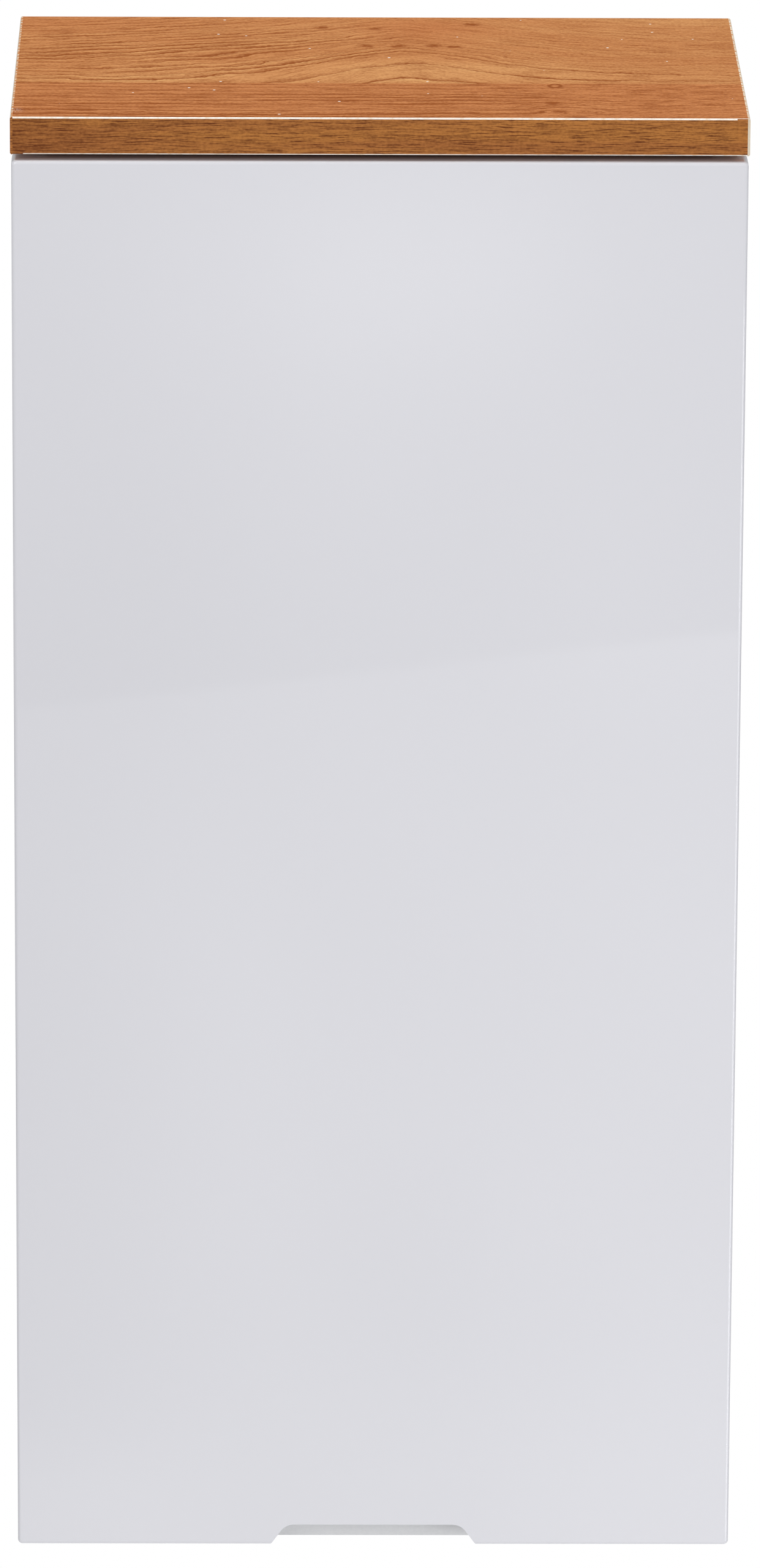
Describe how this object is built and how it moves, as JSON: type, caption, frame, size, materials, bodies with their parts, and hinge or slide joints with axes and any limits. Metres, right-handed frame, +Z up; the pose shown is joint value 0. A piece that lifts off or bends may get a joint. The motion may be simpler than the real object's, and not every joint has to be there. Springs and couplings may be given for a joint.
{
  "type": "bathroom wall cabinet",
  "caption": "Narrow wall cabinet with a wood-look top board, one glossy white door with a notched finger pull, concealed hinges, loose shelves and wall hangers.",
  "frame": {"origin": "centre of the cabinet's footprint at the level of its underside", "axes": "+Z up, -Y towards the user (the door), +Y towards the wall, +X to the user's right"},
  "size_m": [0.35, 0.225, 0.72],
  "materials": {
    "oak_decor_board": "satin oak-look decor on chipboard",
    "oak_edging": "satin oak-look edging",
    "white_board": "fine matt white melamine",
    "white_edging": "satin white",
    "back_hardboard": "white lacquered hardboard",
    "door_foil": "high gloss white foil on MDF",
    "clear_buffer": "clear soft",
    "cast_zinc": "raw die-cast zinc",
    "white_cap": "satin white",
    "zinc_steel": "bright zinc plated",
    "beech_dowel": "dry beech",
    "nickel_steel": "nickel plated",
    "screw_steel": "zinc plated",
    "hanger_plastic": "moulded white"
  },
  "bodies": {
    "carcass": {"top_board": "oak_decor_board", "top_edging_front": "oak_edging", "top_edging_left": "oak_edging", "top_edging_right": "oak_edging", "side_panel_left": "white_board", "side_panel_right": "white_board", "bottom_panel": "white_board", "side_edging_left": "white_edging", "side_edging_right": "white_edging", "bottom_edging": "white_edging", "back_panel": "back_hardboard", "cam_locks_top": "cast_zinc", "cam_locks_bottom": "cast_zinc", "hinge_lower_plate": "cast_zinc", "hinge_upper_plate": "cast_zinc", "cam_caps_top": "white_cap", "cam_caps_bottom": "white_cap", "cam_bolts_top": "zinc_steel", "cam_bolts_bottom": "zinc_steel", "wall_plate_left": "zinc_steel", "wall_plate_right": "zinc_steel", "hanger_hook_left": "zinc_steel", "hanger_hook_right": "zinc_steel", "hanger_adjusters": "zinc_steel", "dowels_top": "beech_dowel", "dowels_bottom": "beech_dowel", "shelf_pins_lower": "nickel_steel", "shelf_pins_upper": "nickel_steel", "hinge_lower_arm": "nickel_steel", "hinge_lower_arm_pins": "screw_steel", "hinge_lower_arm_screws": "screw_steel", "hinge_lower_plate_screws": "screw_steel", "hinge_upper_arm": "nickel_steel", "hinge_upper_arm_pins": "screw_steel", "hinge_upper_arm_screws": "screw_steel", "hinge_upper_plate_screws": "screw_steel", "hanger_fixing_screws": "screw_steel", "hanger_body_left": "hanger_plastic", "hanger_body_right": "hanger_plastic"},
    "front_links": {"hinge_lower_front_link": "cast_zinc", "hinge_upper_front_link": "cast_zinc"},
    "rear_links": {"hinge_lower_rear_link": "nickel_steel", "hinge_upper_rear_link": "nickel_steel"},
    "door": {"door_panel": "door_foil", "door_buffers": "clear_buffer", "hinge_lower_cup": "nickel_steel", "hinge_lower_cup_pins": "screw_steel", "hinge_lower_cup_screws": "screw_steel", "hinge_upper_cup": "nickel_steel", "hinge_upper_cup_pins": "screw_steel", "hinge_upper_cup_screws": "screw_steel"},
    "shelf_lower": {"shelf_lower": "white_board", "shelf_edging_lower": "white_edging"},
    "shelf_upper": {"shelf_upper": "white_board", "shelf_edging_upper": "white_edging"}
  },
  "joints": [
    {"name": "front_link_swing", "type": "hinge", "parent": "carcass", "child": "front_links", "pos_m": [-0.1346, -0.0893, 0.356], "axis": [0, 0, 1], "range_deg": [0, 14.93]},
    {"name": "door_swing", "type": "hinge", "parent": "front_links", "child": "door", "pos_m": [-0.1654, -0.1027, 0.356], "axis": [0, 0, -1], "range_deg": [0, 109.92]},
    {"name": "rear_link_swing", "type": "hinge", "parent": "carcass", "child": "rear_links", "pos_m": [-0.127, -0.0832, 0.356], "axis": [0, 0, 1], "range_deg": [0, 26.32]},
    {"name": "shelf_lower_lift", "type": "slide", "parent": "carcass", "child": "shelf_lower", "axis": [0, 0, 1], "range_m": [0, 0.02]},
    {"name": "shelf_upper_lift", "type": "slide", "parent": "carcass", "child": "shelf_upper", "axis": [0, 0, 1], "range_m": [0, 0.02]}
  ],
  "couplings": [
    {"joint": "front_link_swing", "follows": "door_swing", "ratio": 0.1357},
    {"joint": "rear_link_swing", "follows": "door_swing", "ratio": 0.23941}
  ]
}
